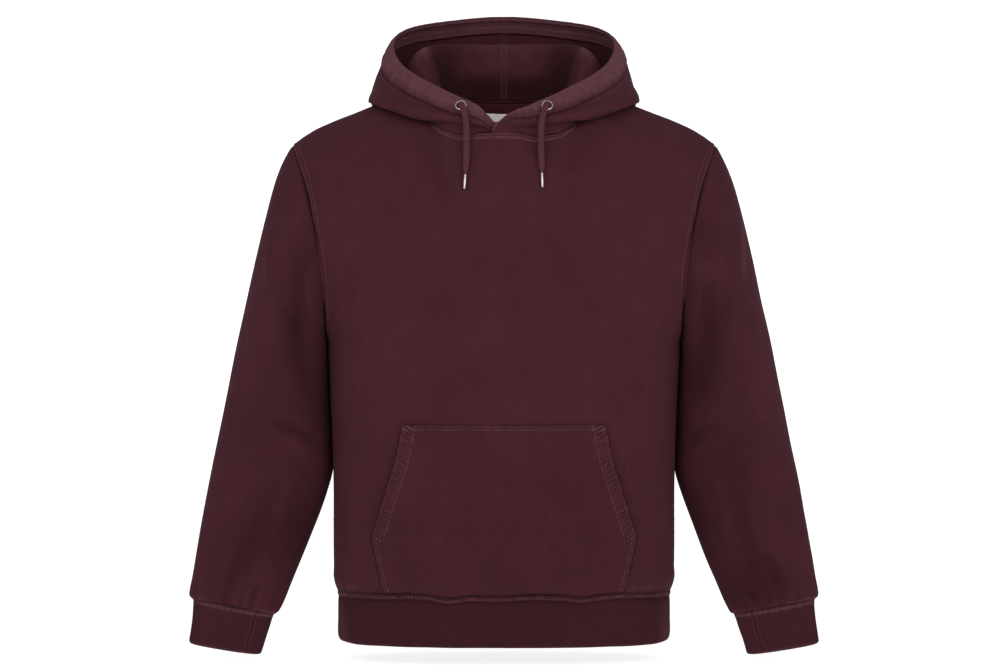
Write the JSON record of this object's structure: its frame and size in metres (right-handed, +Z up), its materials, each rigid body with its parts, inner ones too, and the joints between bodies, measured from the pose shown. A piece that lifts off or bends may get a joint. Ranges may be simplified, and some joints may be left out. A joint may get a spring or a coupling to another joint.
{
  "type": "pullover hoodie",
  "caption": "Plain pullover hoodie, filled out as if worn, with its hood laid back, set-in sleeves, slanted front pocket, ribbed hem and cuffs and two free drawcord ends.",
  "frame": {"origin": "middle of the neck opening, level with the ends of the shoulder seams at the neck less 28 mm", "axes": "+Z up through the neck opening, -Y out of the front, +X towards the image's right, the wearer's left"},
  "size_m": [0.806, 0.3273, 0.834],
  "materials": {
    "fleece": "washed cotton fleece, matt, with a worn light line along its seams",
    "rib": "ribbed cotton knit, matt",
    "cord": "flat braided cotton",
    "metal": "dark antique plating, satin",
    "label": "plain light grey woven tape"
  },
  "bodies": {
    "root": {"front_body": "fleece", "back_body": "fleece", "sleeve_left": "fleece", "sleeve_right": "fleece", "cuff_left": "rib", "cuff_right": "rib", "waistband": "rib", "hood_left": "fleece", "hood_right": "fleece", "kangaroo_pocket": "fleece", "neck_tape": "fleece", "neck_label": "label", "eyelet_left": "metal", "eyelet_right": "metal", "drawcord_left": "cord", "drawcord_right": "cord", "aglet_left": "metal", "aglet_right": "metal"}
  },
  "joints": []
}
